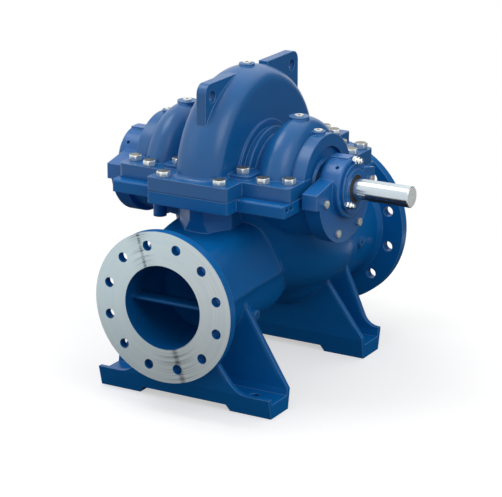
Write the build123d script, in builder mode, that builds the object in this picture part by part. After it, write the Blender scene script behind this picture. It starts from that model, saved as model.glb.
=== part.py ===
"""Horizontal split case pump: double suction volute pump with in-line side nozzles.

X runs along the shaft towards the drive end, Y from the discharge side (-Y) to the
suction side (+Y), Z is up. The origin is on the floor at the centre of the four feet.
"""
from build123d import *
from math import sqrt
import os

os.makedirs("parts", exist_ok=True)

# Shaft line and nozzles
shaft_height = 494.0
nozzle_height = 259.0

# Volute: a four centre spiral about the shaft, growing by one step each quarter turn
volute_base_radius = 244.0
volute_step = 20.0
volute_half_width = 61.0
volute_crown_depth = 38.0
dome_foot_radius = 10.0
volute_wall = 44.0
volute_toe_rise = 122.0
chamber_half_width = 46.0
chamber_corner_cut = 30.0

# Front leg of the lower casing between the flange and the discharge body
leg_front_y = -213.0
leg_nose_half = 17.5
leg_flank_y = -172.0
leg_flank_half = 70.0
leg_flare_start_drop = 69.0
leg_flare_end_drop = 116.0
leg_foot_nose_half = 44.0
leg_edge_radius = 6.0

# Split flanges
upper_flange_thickness = 33.0
lower_flange_thickness = 30.0
gasket_thickness = 1.0
middle_half_length = 107.0
flange_front_y = -255.0
flange_rear_y = 345.0
upper_side_half_length = 229.0
upper_side_front_y = -187.5
lower_side_half_length = 231.0
lower_side_front_y = -213.0
side_rear_y = 234.0
flange_corner_radius = 6.0
side_corner_radius = 14.0
lower_side_chamfer = 4.0
end_hole_radius = 5.5
end_hole_depth = 12.0
end_holes = [(-198.0, 17.0), (-177.0, 17.0)]

# Discharge nozzle, front
discharge_face_y = -364.0
discharge_flange_radius = 180.0
discharge_flange_thickness = 22.0
discharge_bolt_circle_radius = 147.5
discharge_bolt_hole_radius = 12.0
discharge_bore_radius = 100.0
discharge_bore_end_y = -190.0
discharge_tip_y = -140.0
discharge_tip_radius = 62.0
discharge_neck_radius = 119.0
discharge_hub_rise = 9.0
discharge_hub_length = 16.0

# Discharge body behind the flange. Each section has its distance y, then points (x, height over
# the nozzle line) from the side crease to the top and from the crease down to the bottom.
body_start_y = -338.0
body_crease_y = -215.0
body_end_y = -45.0
body_crease_leans = (0.3, 0.7)
body_sections = [
    (body_crease_y, (127.0, 7.0), [(114.0, 66.0), (93.0, 129.0)], 139.0,
     [(106.0, -59.0), (62.0, -107.0)], -123.0),
    (body_end_y, (130.0, 14.0), [(121.0, 68.0), (98.0, 134.0)], 150.0,
     [(109.0, -59.0), (65.0, -109.0)], -128.0),
]
body_tails = [
    (body_end_y, 45.0, (130.0, 14.0), [(109.0, -59.0), (65.0, -109.0)], -128.0),
    (5.0, 42.0, (127.0, 10.0), [(106.0, -55.0), (63.0, -99.0)], -116.0),
    (50.0, 38.0, (118.0, 6.0), [(97.0, -44.0), (56.0, -78.0)], -91.0),
    (90.0, 34.0, (104.0, 3.0), [(84.0, -31.0), (47.0, -52.0)], -61.0),
]

# Suction nozzle, rear
suction_face_y = 460.0
suction_flange_radius = 212.5
suction_flange_thickness = 24.0
suction_bolt_circle_radius = 177.5
suction_bolt_hole_radius = 13.0
suction_bore_radius = 125.0
suction_neck_radius = 148.0
flange_bolt_count = 12
suction_hub_rise = 9.0
suction_hub_length = 14.0
suction_bore_depth = 160.0
suction_neck_end_y = 190.0
suction_neck_nose = 105.0

# Splitter rib across the discharge bore
splitter_thickness = 9.0
splitter_start_y = -336.0
splitter_end_y = -290.0
splitter_rise = 2.0
splitter_margin = 4.0

# Suction bowl: share of the height between its bottom and the flange, centre y, half x, half y
bowl_bottom_drop = 69.0
bowl_rings = [
    (1.0, 45.0, 190.0, 195.0),
    (0.766, 75.0, 205.0, 205.0),
    (0.511, 105.0, 213.0, 203.0),
    (0.252, 130.0, 206.0, 190.0),
    (0.091, 145.0, 172.0, 162.0),
    (0.0, 150.0, 118.0, 118.0),
]

# Side passages from the suction nozzle to both eyes of the impeller
passage_radius = 50.0
passage_start = (62.0, 318.0)
passage_side_x = 112.0
passage_low_y = 220.0
passage_low_rise = 16.0
passage_high_y = 100.0
passage_high_share = 0.387
passage_end_x = 98.0
passage_end_drop = 20.0
passage_bend = 50.0

# Feet
foot_half_length = 232.0
foot_outer_y = 270.5
foot_depth = 80.0
foot_floor_thickness = 34.0
foot_web_thickness = 12.0
foot_end_height = 49.0
foot_outer_lean = 12.0
foot_inner_lean = 9.0
web_top_z = 262.0
foot_pad_length = 109.0
foot_relief = 15.0
foot_relief_slope = 10.0
foot_bolt_x = 165.0
foot_bolt_radius = 11.0
front_web_arc = 60.0
rear_web_arc = 40.0

# Seal chambers
chamber_outer_radius = 119.0
chamber_start_x = 194.0
upper_chamber_end_x = 228.0
lower_chamber_end_x = 240.0
non_drive_end_shift = 10.0
bell_radius = 151.0
gland_pocket_radius = 90.0
gland_pocket_start_x = 202.0
collar_outer_radius = 133.0
collar_inner_radius = 119.0
collar_ring_width = 6.0
collar_groove_width = 3.0
collar_groove_depth = 3.0
collar_end_x = 83.0
neck_radius = 104.0
neck_start_x = 89.0
neck_end_x = 95.0
bell_x = 152.0
bell_points = [(104.0, 35.0), (118.0, 19.5), (133.0, 6.5), (142.0, 2.0)]
bell_far_points = [(165.0, 2.0), (179.0, 8.5), (189.0, 19.0)]
bell_end_drop = 30.0
ring_groove_width = 1.5
ring_groove_depth = 1.5
flare_radius = 128.0
flare_start_x = 156.0
flare_points = [(176.0, 126.2), (192.0, 122.8), (206.0, 120.0)]
flare_end_x = 222.0
seal_bore_radius = 62.0
eye_chamber_radius = 82.0
eye_end_x = 118.0

# Lifting lugs
lug_thickness = 24.0
lug_top_drop = 6.5
lug_foot_rise = 60.0
lug_length = 150.0
front_lug_y = -188.0
rear_lug_y = 248.0
lug_hole_radius = 14.0
lug_hole_inset = 31.0
lug_hole_drop = 32.5
lug_corner_radius = 24.0

# Shaft line parts
shaft_end_x = 447.0
shaft_far_end_x = 302.0
shaft_step_x = 236.0
shaft_radius = 25.0
bearing_seat_radius = 27.5
shaft_seal_radius = 29.0
shaft_middle_radius = 32.0
shaft_chamfer = 2.0
centre_hole_radius = 3.0
centre_hole_depth = 8.0
slip_gap = 0.05
running_gap = 0.06
sleeve_radius = 38.0
sleeve_start_x = 68.0
sleeve_end_x = 224.0
impeller_radius = 165.0
impeller_eye_radius = 74.0
impeller_half_length = 66.0
shroud_end_x = 62.0
shroud_thickness = 8.0
shroud_points = [(44.0, 74.0), (36.0, 86.0), (27.0, 110.0)]
shroud_inner_points = [(21.0, 110.0), (30.0, 84.0), (38.0, 70.0)]
shroud_tip_x = 20.0
shroud_tip_inner_x = 14.0
hub_radius = 40.0
hub_points = [(22.0, 48.0), (8.0, 62.0), (3.0, 90.0)]
web_tip_x = 2.5
vane_points = [(39.0, 64.0), (30.0, 86.0), (22.0, 112.0)]
vane_tip_x = 15.0
vane_tip_drop = 1.0
wear_ring_outer_radius = 86.0
wear_ring_gap = 0.08
wear_ring_start_x = 47.0
wear_ring_end_x = 63.0
vane_count = 6
vane_thickness = 5.0
vane_centre = (-35.0, 70.0)
vane_camber_radius = 119.6
vane_start_angle = -36.0
vane_sweep = 82.0

# Seal plates and flingers
gland_thickness = 16.0
gland_bore_radius = 44.0
gland_nose_radius = 60.0
gland_nose_length = 6.0
gland_nose_taper = 3.0
flinger_radius = 44.0
flinger_thickness = 6.0
flinger_x = 229.0
flinger_lip = 2.0
flinger_lip_drop = 8.0

# Bearing housings
housing_disc_thickness = 38.0
housing_disc_radius = 131.0
ear_half_width = 145.0
ear_bottom_drop = 23.0
ear_outer_rise = 14.0
ear_inner_rise = 31.0
ear_inner_y = 62.0
barrel_radius = 71.0
barrel_end_x = 294.0
barrel_end_x_far = 306.0
barrel_edge = 3.0
barrel_foot_length = 6.0
barrel_foot_drop = 2.0
barrel_hole_x = 276.0
barrel_hole_angle = 37.0
barrel_hole_angle_far = 51.0
barrel_hole_radius = 4.5
barrel_hole_depth = 8.0
barrel_pad_half_width = 16.0
barrel_pad_rise = 3.0
barrel_pad_margin = 8.0
cover_radius = 58.5
cover_thickness = 6.0
cover_step_radius = 46.0
cover_step_thickness = 4.0
cover_bore_radius = 33.0
cover_screw_radius = 3.5
cover_screw_circle = 52.0
cover_screw_count = 4
cover_screw_depth = 4.0
end_cap_radius = 57.0
end_cap_thickness = 9.0
end_cap_edge = 2.0

# Plugs and nipples
vent_y = 21.0
vent_boss_radius = 19.0
vent_boss_rise = 4.0
plug_radius = 10.5
plug_height = 3.0
plug_socket_radius = 4.0
plug_socket_depth = 5.0
plug_thread_radius = 8.0
plug_thread_depth = 12.0
plug_bottom_gap = 2.0
bell_boss_x = 152.0
bell_boss_radius = 24.0
bell_boss_rise = 3.0
ring_boss_x = 203.0
ring_boss_radius = 17.0
ring_boss_rise = 6.0
nipple_radius = 7.0
nipple_length = 24.0
nipple_hexagon_share = 0.45
nipple_neck_share = 0.75
nipple_neck_radius = 4.0
nipple_head_radius = 5.0
top_nipples = {"drive_end": (4.0, 66.0), "non_drive_end": (46.0, 46.0)}
low_nipple = (-45.5, -28.3)

# Small bosses on the castings, with a tapped hole each
tapped_radius = 4.5
tapped_depth = 10.0
suction_boss = (330.0, -9.0)
suction_boss_radius = 13.0
suction_boss_end_x = 153.0
discharge_boss = (-166.0, -54.0)
discharge_boss_radius = 12.0
discharge_boss_end_x = 136.0
small_boss_start_x = 90.0
drain_boss = (222.0, 8.0)
drain_boss_radius = 11.0
drain_boss_drop = 138.0
pipe_boss = (-150.0, -131.0)
pipe_boss_radius = 16.0
pipe_boss_drop = 98.0

# Spot faces and pads of the flange screws (x, y)
flank_pad = (80.5, 136.0)
side_bolts = [(145.5, -172.0), (210.5, -148.0)]
flank_pad_size = 72.0
flank_pad_height = 9.0
flank_pad_corner = 16.0
spot_face_radius = 22.0
spot_face_height = 40.0
envelope_size = 1200.0

shaft_axis = Axis((0, 0, shaft_height), (1, 0, 0))
nozzle_axis = Axis((0, 0, nozzle_height), (0, 1, 0))
split_low_z = shaft_height - gasket_thickness / 2
split_high_z = shaft_height + gasket_thickness / 2
shaft_shoulder_x = barrel_end_x + cover_thickness + cover_step_thickness
flange_bottom_z = shaft_height - lower_flange_thickness
flange_top_z = split_high_z + upper_flange_thickness
crown_top_z = shaft_height + volute_step / 2 + volute_base_radius
lug_top_z = crown_top_z - lug_top_drop
vent_boss_top_z = crown_top_z + vent_boss_rise
bell_boss_top_z = shaft_height + bell_radius + bell_boss_rise
ring_boss_top_z = shaft_height + chamber_outer_radius + ring_boss_rise


def turn_shaft(points, side=1, mode=Mode.ADD):
    """Turn a closed (x, radius) profile about the shaft line."""
    with BuildSketch(Plane.XZ) as profile:
        with BuildLine():
            Polyline([(side * x, shaft_height + radius) for x, radius in points], close=True)
        make_face()
    revolve(profile.sketch, axis=shaft_axis, mode=mode)


def turn_nozzle(points, mode=Mode.ADD):
    """Turn a closed (y, radius) profile about the nozzle line."""
    with BuildSketch(Plane.YZ) as profile:
        with BuildLine():
            Polyline([(y, nozzle_height + radius) for y, radius in points], close=True)
        make_face()
    revolve(profile.sketch, axis=nozzle_axis, mode=mode)


def column(x, y, low_z, high_z, radius, mode=Mode.ADD):
    """Upright cylinder between two heights."""
    with BuildSketch(Plane.XY.offset(low_z)) as disc:
        with Locations((x, y)):
            Circle(radius)
    extrude(disc.sketch, amount=high_z - low_z, mode=mode)


def cross_column(y, z, start_x, end_x, radius, mode=Mode.ADD):
    """Cylinder along X between two places."""
    with BuildSketch(Plane.YZ.offset(start_x)) as disc:
        with Locations((y, z)):
            Circle(radius)
    extrude(disc.sketch, amount=end_x - start_x, mode=mode)


def volute_arcs(inset=0.0):
    """Outline in the Y-Z plane: three spiral quarters, then a flat front and a round toe
    that run down into the discharge nozzle."""
    half = volute_step / 2
    first = volute_base_radius - inset
    second = first + volute_step
    third = second + volute_step
    front_y = half - first
    toe_z = shaft_height - half - third + volute_toe_rise
    with BuildSketch(Plane.YZ) as outline:
        with BuildLine():
            CenterArc((half, shaft_height + half), first, 90, 90)
            CenterArc((half, shaft_height - half), second, 0, 90)
            CenterArc((-half, shaft_height - half), third, -90, 90)
            EllipticalCenterArc((-half, toe_z), -half - front_y, volute_toe_rise, 180, arc_size=90)
            Line((front_y, toe_z), (front_y, shaft_height + half))
        make_face()
    return outline.sketch


def quarter_drum(centre_y, centre_z, radius, up, turn):
    """Quarter of the volute: flat sides under an oval crown, turned about an axis along X.
    The section stands up or hangs down from the centre and turns by a signed quarter."""
    rim = centre_z + up * (radius - volute_crown_depth)
    with BuildSketch(Plane.XZ.offset(-centre_y)) as section:
        with BuildLine():
            Polyline(
                (-volute_half_width * up, rim),
                (-volute_half_width * up, centre_z),
                (volute_half_width * up, centre_z),
                (volute_half_width * up, rim),
            )
            EllipticalCenterArc(
                (0, rim), volute_half_width, volute_crown_depth, 90 - 90 * up, arc_size=180
            )
        make_face()
    revolve(
        section.sketch,
        axis=Axis((0, centre_y, centre_z), (turn, 0, 0)),
        revolution_arc=90,
    )


def add_dome():
    """Upper volute: two spiral quarters and a short upright front part under the first."""
    half = volute_step / 2
    quarter_drum(half, shaft_height + half, volute_base_radius, 1, 1)
    quarter_drum(half, shaft_height - half, volute_base_radius + volute_step, 1, -1)
    rim_y = half - volute_base_radius + volute_crown_depth
    with BuildSketch(Plane.XY.offset(shaft_height)) as plan:
        with BuildLine():
            Polyline(
                (-volute_half_width, rim_y),
                (-volute_half_width, half),
                (volute_half_width, half),
                (volute_half_width, rim_y),
            )
            EllipticalCenterArc((0, rim_y), volute_half_width, volute_crown_depth, 180, arc_size=180)
        make_face()
    extrude(plan.sketch, amount=half)


def leg_plan(z, nose_half):
    """Plan of the front leg at one height: a blunt nose between two slanting faces."""
    with BuildSketch(Plane.XY.offset(z)) as plan:
        with BuildLine():
            Polyline(
                (nose_half, leg_front_y),
                (leg_flank_half, leg_flank_y),
                (leg_flank_half, 0),
                (-leg_flank_half, 0),
                (-leg_flank_half, leg_flank_y),
                (-nose_half, leg_front_y),
                close=True,
            )
        make_face()
        front = plan.vertices().filter_by(lambda corner: corner.Y < leg_flank_y + 1)
        fillet(front, leg_edge_radius)
    return plan.sketch


def add_leg():
    """Upright front part of the lower volute, flaring into the discharge body."""
    flare_start = shaft_height - leg_flare_start_drop
    flare_end = shaft_height - leg_flare_end_drop
    upper = leg_plan(flare_start, leg_nose_half)
    lower = leg_plan(flare_end, leg_foot_nose_half)
    extrude(upper, amount=leg_flare_start_drop)
    loft(sections=[upper, lower], ruled=True)
    extrude(lower, amount=nozzle_height - flare_end)


def body_section(y, crease, above, top, below, bottom, leans=body_crease_leans):
    """Section of the discharge body. The crease along each side is as sharp as the two leans say,
    sideways run for one of rise above and below it."""
    right_top = [crease, *above, (0, top)]
    right_low = [crease, *below, (0, bottom)]
    with BuildSketch(Plane.XZ.offset(-y)) as section:
        with BuildLine():
            for side in (1, -1):
                for half, end, lean in ((right_top, 1, leans[0]), (right_low, -1, leans[1])):
                    points = [(side * x, nozzle_height + z) for x, z in half]
                    Spline(*points, tangents=[(-side * lean, end), (-side, 0)])
        make_face()
    return section.sketch


def add_discharge_body():
    """Casting behind the discharge flange: round at the neck, broader and creased further in."""
    r = discharge_neck_radius
    round_section = (
        body_start_y, (r, 3.0), [(r * 0.94, r * 0.34), (r * 0.68, r * 0.733)], r,
        [(r * 0.866, -r * 0.5), (r * 0.5, -r * 0.866)], -r, (0, 0),
    )
    faces = [body_section(*section) for section in (round_section, *body_sections)]
    loft(sections=faces)
    tails = []
    for y, top, crease, below, bottom in body_tails:
        with BuildSketch(Plane.XZ.offset(-y)) as section:
            with BuildLine():
                for side in (1, -1):
                    corner = (side * crease[0], nozzle_height + top)
                    points = [(side * x, nozzle_height + z) for x, z in (crease, *below, (0, bottom))]
                    Line((0, nozzle_height + top), corner)
                    Line(corner, points[0])
                    Spline(*points, tangents=[(-side * body_crease_leans[1], -1), (-side, 0)])
            make_face()
        tails.append(section.sketch)
    loft(sections=tails)


def add_upper_seal_chamber(side):
    """Two collar rings, waisted neck, bell and ring part of one seal chamber."""
    ring_x = volute_half_width + collar_ring_width
    inner_ring_x = ring_x + collar_groove_width
    groove_radius = collar_inner_radius - collar_groove_depth
    crest = shaft_height + bell_radius
    bell_end = (side * chamber_start_x, crest - bell_end_drop)
    ring_radius = shaft_height + chamber_outer_radius
    with BuildSketch(Plane.XZ) as profile:
        with BuildLine():
            Polyline(
                (0, shaft_height),
                (0, shaft_height + collar_outer_radius),
                (side * (ring_x - 1), shaft_height + collar_outer_radius),
                (side * ring_x, shaft_height + collar_outer_radius - 2),
                (side * ring_x, shaft_height + groove_radius),
                (side * inner_ring_x, shaft_height + groove_radius),
                (side * inner_ring_x, shaft_height + collar_inner_radius - 2),
                (side * (inner_ring_x + 2), shaft_height + collar_inner_radius),
                (side * (collar_end_x - 2), shaft_height + collar_inner_radius),
                (side * collar_end_x, shaft_height + collar_inner_radius - 2),
                (side * neck_start_x, shaft_height + neck_radius),
                (side * neck_end_x, shaft_height + neck_radius),
            )
            Spline(
                (side * neck_end_x, shaft_height + neck_radius),
                *[(side * x, crest - drop) for x, drop in bell_points],
                (side * bell_x, crest),
                *[(side * x, crest - drop) for x, drop in bell_far_points],
                bell_end,
                tangents=[(side, 0.9), (side * 0.35, -1)],
            )
            Polyline(
                bell_end,
                (side * chamber_start_x, ring_radius - ring_groove_depth),
                (side * (chamber_start_x + ring_groove_width), ring_radius - ring_groove_depth),
                (side * (chamber_start_x + ring_groove_width), ring_radius),
                (side * (upper_chamber_end_x - 1), ring_radius),
                (side * upper_chamber_end_x, ring_radius - 1),
                (side * upper_chamber_end_x, shaft_height),
                (0, shaft_height),
            )
        make_face()
    revolve(profile.sketch, axis=shaft_axis)


def chamber_end(side):
    """Outer end of a lower seal chamber, where the bearing housing is bolted on."""
    return lower_chamber_end_x + (non_drive_end_shift if side < 0 else 0)


def add_lower_seal_chamber(side):
    """Lower half of a seal chamber: a barrel that flares into the bowl."""
    end_x = chamber_end(side)
    with BuildSketch(Plane.XZ) as profile:
        with BuildLine():
            Polyline(
                (side * flare_end_x, shaft_height + chamber_outer_radius),
                (side * end_x, shaft_height + chamber_outer_radius),
                (side * end_x, shaft_height),
                (0, shaft_height),
                (0, shaft_height + flare_radius),
                (side * flare_start_x, shaft_height + flare_radius),
            )
            Spline(
                (side * flare_start_x, shaft_height + flare_radius),
                *[(side * x, shaft_height + radius) for x, radius in flare_points],
                (side * flare_end_x, shaft_height + chamber_outer_radius),
                tangents=[(side, 0), (side, 0)],
            )
        make_face()
    revolve(profile.sketch, axis=shaft_axis)


def flange_outline(side_half, side_front, side_round):
    """Plan of a split flange: a long middle part with a wing over each seal chamber."""
    right = [
        (middle_half_length, flange_front_y),
        (middle_half_length, side_front),
        (side_half, side_front),
        (side_half, side_rear_y),
        (middle_half_length, side_rear_y),
        (middle_half_length, flange_rear_y),
    ]
    left = [(-x, y) for x, y in reversed(right)]
    with BuildSketch() as outline:
        with BuildLine():
            Polyline(*right, *left, close=True)
        make_face()
        wings = outline.vertices().filter_by(lambda corner: abs(abs(corner.X) - side_half) < 0.01)
        fillet(wings, side_round)
        middle = outline.vertices().filter_by(
            lambda corner: abs(corner.Y - flange_front_y) < 0.01
            or abs(corner.Y - flange_rear_y) < 0.01
        )
        fillet(middle, flange_corner_radius)
    return outline.sketch


def add_flange(bottom_z, thickness, side_half, side_front, side_round):
    outline = flange_outline(side_half, side_front, side_round)
    extrude(Plane.XY.offset(bottom_z) * outline, amount=thickness)


def keep_between(low_z, high_z):
    """Cut away everything that lies outside two heights."""
    with BuildSketch(Plane.XY.offset(low_z)) as slab:
        Rectangle(envelope_size, envelope_size)
    extrude(slab.sketch, amount=high_z - low_z, mode=Mode.INTERSECT)


def drill_nozzle_flange(face_y, thickness, circle_radius, hole_radius):
    """Bolt holes of a nozzle flange, straddling the centre lines."""
    outward = 1 if face_y > 0 else -1
    with BuildSketch(Plane.XZ.offset(-face_y)) as holes:
        with Locations((0, nozzle_height)):
            with PolarLocations(circle_radius, flange_bolt_count, start_angle=180 / flange_bolt_count):
                Circle(hole_radius)
    extrude(holes.sketch, amount=outward * thickness, mode=Mode.SUBTRACT)


def add_bowl():
    """Suction bowl under the volute, a smooth stack of ellipses."""
    bottom_z = nozzle_height - bowl_bottom_drop
    faces = []
    for share, centre_y, half_x, half_y in bowl_rings:
        with BuildSketch(Plane.XY.offset(bottom_z + share * (flange_bottom_z - bottom_z))) as ring:
            with Locations((0, centre_y)):
                Ellipse(half_x, half_y)
        faces.append(ring.sketch)
    loft(sections=faces)


def foot_plate(end, inner):
    """Section of a foot wall across its length: leaning at the foot, upright above."""
    face_y = foot_outer_y - (foot_depth if inner else 0)
    lean = -foot_inner_lean if inner else foot_outer_lean
    thickness = foot_web_thickness if inner else -foot_web_thickness
    with BuildSketch(Plane.YZ.offset(-foot_half_length)) as section:
        with BuildLine():
            Polyline(
                (end * face_y, 0),
                (end * (face_y + lean), foot_end_height),
                (end * (face_y + lean), web_top_z),
                (end * (face_y + lean + thickness), web_top_z),
                (end * (face_y + lean + thickness), foot_end_height),
                (end * (face_y + thickness), 0),
                close=True,
            )
        make_face()
    return section.sketch


def make_web(end, inner, outline, bend):
    """Wall of a foot: the plate cut to its outline (x, z), mirrored about the middle."""
    with BuildPart() as web:
        extrude(foot_plate(end, inner), amount=2 * foot_half_length)
        with BuildSketch(Plane.XZ.offset(-end * (foot_outer_y + foot_depth / 2))) as shape:
            with BuildLine():
                for side in (1, -1):
                    points = [(side * x, z) for x, z in outline]
                    if bend:
                        FilletPolyline(*points, radius=bend)
                    else:
                        Polyline(*points)
                    Polyline(points[-1], (points[-1][0], 0), (0, 0))
            make_face()
        extrude(shape.sketch, amount=end * 2 * foot_depth, mode=Mode.INTERSECT)
    return web.part


def add_foot(end, outer_web, inner_web, bend):
    """One foot: a base with end pads and two walls. end is -1 in front, 1 at the rear."""
    pad_x = foot_half_length - foot_pad_length
    outer_lean = foot_outer_lean * foot_floor_thickness / foot_end_height
    inner_lean = foot_inner_lean * foot_floor_thickness / foot_end_height
    with BuildPart() as foot:
        with BuildSketch(Plane.YZ.offset(-foot_half_length)) as channel:
            with BuildLine():
                Polyline(
                    (end * foot_outer_y, 0),
                    (end * (foot_outer_y + outer_lean), foot_floor_thickness),
                    (end * (foot_outer_y - foot_depth - inner_lean), foot_floor_thickness),
                    (end * (foot_outer_y - foot_depth), 0),
                    close=True,
                )
            make_face()
        extrude(channel.sketch, amount=2 * foot_half_length)
        add(make_web(end, False, outer_web, bend))
        add(make_web(end, True, inner_web, 0))
        with BuildSketch(Plane.XZ.offset(-end * (foot_outer_y + foot_depth / 2))) as relief:
            with BuildLine():
                Polyline(
                    (-pad_x, 0),
                    (-pad_x + foot_relief_slope, foot_relief),
                    (pad_x - foot_relief_slope, foot_relief),
                    (pad_x, 0),
                    close=True,
                )
            make_face()
        extrude(relief.sketch, amount=end * 2 * foot_depth, mode=Mode.SUBTRACT)
        for side in (1, -1):
            column(
                side * foot_bolt_x,
                end * (foot_outer_y - foot_depth / 2),
                0,
                foot_floor_thickness,
                foot_bolt_radius,
                mode=Mode.SUBTRACT,
            )
    add(foot.part)


# Wet space inside the casing, cut from both halves and from the gasket
chamber_front_y = volute_step / 2 - volute_base_radius + volute_wall
with BuildPart() as wet_space:
    extrude(volute_arcs(volute_wall), amount=chamber_half_width, both=True)
    with BuildSketch() as chamber_plan:
        with BuildLine():
            Polyline(
                (chamber_half_width, envelope_size),
                (chamber_half_width, chamber_front_y + chamber_corner_cut),
                (chamber_half_width - chamber_corner_cut, chamber_front_y),
                (chamber_corner_cut - chamber_half_width, chamber_front_y),
                (-chamber_half_width, chamber_front_y + chamber_corner_cut),
                (-chamber_half_width, envelope_size),
                close=True,
            )
        make_face()
    extrude(chamber_plan.sketch, amount=envelope_size, mode=Mode.INTERSECT)
    turn_nozzle([
        (discharge_face_y, 0),
        (discharge_face_y, discharge_bore_radius),
        (discharge_bore_end_y, discharge_bore_radius),
        (discharge_tip_y, discharge_tip_radius),
        (discharge_tip_y, 0),
    ])
    turn_nozzle([
        (suction_face_y, 0),
        (suction_face_y, suction_bore_radius),
        (suction_face_y - suction_bore_depth, suction_bore_radius),
        (suction_face_y - suction_bore_depth, 0),
    ])
    high_z = nozzle_height + passage_high_share * (shaft_height - nozzle_height)
    for side in (1, -1):
        route = [
            (side * passage_start[0], passage_start[1], nozzle_height),
            (side * passage_side_x, passage_low_y, nozzle_height + passage_low_rise),
            (side * passage_side_x, passage_high_y, high_z),
            (side * passage_end_x, 0, shaft_height - passage_end_drop),
        ]
        with BuildLine() as path:
            FilletPolyline(*route, radius=passage_bend)
        with BuildSketch(Plane(origin=path.line @ 0, z_dir=path.line % 0)) as bore:
            Circle(passage_radius)
        sweep(sections=bore.sketch, path=path.line)
        turn_shaft([
            (chamber_half_width - 1, 0),
            (chamber_half_width - 1, wear_ring_outer_radius),
            (wear_ring_end_x + 1, wear_ring_outer_radius),
            (wear_ring_end_x + 1, eye_chamber_radius),
            (eye_end_x, eye_chamber_radius),
            (eye_end_x, seal_bore_radius),
            (gland_pocket_start_x, seal_bore_radius),
            (gland_pocket_start_x, gland_pocket_radius),
            (chamber_end(side) + 1, gland_pocket_radius),
            (chamber_end(side) + 1, 0),
        ], side)

# Tops of the foot walls (x, z) from the middle outwards
front_outer_web = [
    (0, web_top_z),
    (45, nozzle_height - 70),
    (97, foot_end_height + 66),
    (147, foot_end_height),
    (foot_half_length, foot_end_height),
]
front_inner_web = [
    (0, web_top_z),
    (101, web_top_z),
    (foot_half_length, foot_end_height),
]
rear_outer_web = [
    (0, web_top_z),
    (112, web_top_z),
    (201, foot_end_height + 7),
    (foot_half_length, foot_end_height + 7),
]
rear_inner_web = [
    (0, web_top_z),
    (80, web_top_z),
    (foot_half_length, foot_end_height + 6),
]

# Lower half of the casing: volute, bowl, both nozzles and feet in one casting
with BuildPart() as lower_casing:
    quarter_drum(-volute_step / 2, shaft_height - volute_step / 2,
                 volute_base_radius + 2 * volute_step, -1, 1)
    for side in (1, -1):
        add_lower_seal_chamber(side)
    keep_between(0, shaft_height)
    add_bowl()
    add_leg()
    add_discharge_body()
    turn_nozzle([
        (discharge_face_y, 0),
        (discharge_face_y, discharge_flange_radius),
        (discharge_face_y + discharge_flange_thickness, discharge_flange_radius),
        (discharge_face_y + discharge_flange_thickness, discharge_neck_radius + discharge_hub_rise),
        (discharge_face_y + discharge_flange_thickness + discharge_hub_length, discharge_neck_radius),
        (discharge_face_y + discharge_flange_thickness + discharge_hub_length, 0),
    ])
    turn_nozzle([
        (suction_face_y, 0),
        (suction_face_y, suction_flange_radius),
        (suction_face_y - suction_flange_thickness, suction_flange_radius),
        (suction_face_y - suction_flange_thickness, suction_neck_radius + suction_hub_rise),
        (suction_face_y - suction_flange_thickness - suction_hub_length, suction_neck_radius),
        (suction_neck_end_y, suction_neck_radius),
        (suction_neck_end_y, 0),
    ])
    with BuildSketch(Plane.YZ) as neck_nose:
        with BuildLine():
            EllipticalCenterArc((suction_neck_end_y, nozzle_height), suction_neck_nose,
                                suction_neck_radius, 90, arc_size=90)
            Line((suction_neck_end_y - suction_neck_nose, nozzle_height),
                 (suction_neck_end_y, nozzle_height))
            Line((suction_neck_end_y, nozzle_height),
                 (suction_neck_end_y, nozzle_height + suction_neck_radius))
        make_face()
    revolve(neck_nose.sketch, axis=nozzle_axis)
    add_foot(-1, front_outer_web, front_inner_web, front_web_arc)
    add_foot(1, rear_outer_web, rear_inner_web, rear_web_arc)
    add_flange(
        flange_bottom_z,
        lower_flange_thickness,
        lower_side_half_length,
        lower_side_front_y,
        flange_corner_radius,
    )
    for (y, rise), radius, end_x in (
        (suction_boss, suction_boss_radius, suction_boss_end_x),
        (discharge_boss, discharge_boss_radius, discharge_boss_end_x),
    ):
        cross_column(y, nozzle_height + rise, small_boss_start_x, end_x, radius)
    for side in (1, -1):
        column(side * drain_boss[0], drain_boss[1], shaft_height - drain_boss_drop,
               shaft_height - gland_pocket_radius, drain_boss_radius)
    column(*pipe_boss, shaft_height - pipe_boss_drop, flange_bottom_z, pipe_boss_radius)
    keep_between(0, split_low_z)
    add(wet_space.part, mode=Mode.SUBTRACT)
    for (y, rise), end_x in (
        (suction_boss, suction_boss_end_x),
        (discharge_boss, discharge_boss_end_x),
    ):
        cross_column(y, nozzle_height + rise, end_x - tapped_depth, end_x, tapped_radius,
                     mode=Mode.SUBTRACT)
    for side in (1, -1):
        for y, rise in end_holes:
            cross_column(y, flange_bottom_z + rise, side * (lower_side_half_length - end_hole_depth),
                         side * lower_side_half_length, end_hole_radius, mode=Mode.SUBTRACT)
        with BuildSketch(Plane.YZ.offset(side * (middle_half_length + flange_corner_radius))) as edge:
            with BuildLine():
                Polyline(
                    (lower_side_front_y, split_low_z),
                    (lower_side_front_y + lower_side_chamfer, split_low_z),
                    (lower_side_front_y, split_low_z - lower_side_chamfer),
                    close=True,
                )
            make_face()
        extrude(edge.sketch, amount=side * lower_side_half_length, mode=Mode.SUBTRACT)
    with BuildSketch(Plane.YZ) as splitter:
        with Locations(((splitter_start_y + splitter_end_y) / 2, nozzle_height + splitter_rise)):
            RectangleRounded(splitter_end_y - splitter_start_y, splitter_thickness,
                             splitter_thickness * 0.49)
    extrude(splitter.sketch, amount=discharge_bore_radius + splitter_margin, both=True)
    drill_nozzle_flange(
        discharge_face_y,
        discharge_flange_thickness,
        discharge_bolt_circle_radius,
        discharge_bolt_hole_radius,
    )
    drill_nozzle_flange(
        suction_face_y,
        suction_flange_thickness,
        suction_bolt_circle_radius,
        suction_bolt_hole_radius,
    )
lower_casing.part.label = "lower_casing"
export_step(lower_casing.part, "parts/lower_casing.step")


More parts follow.
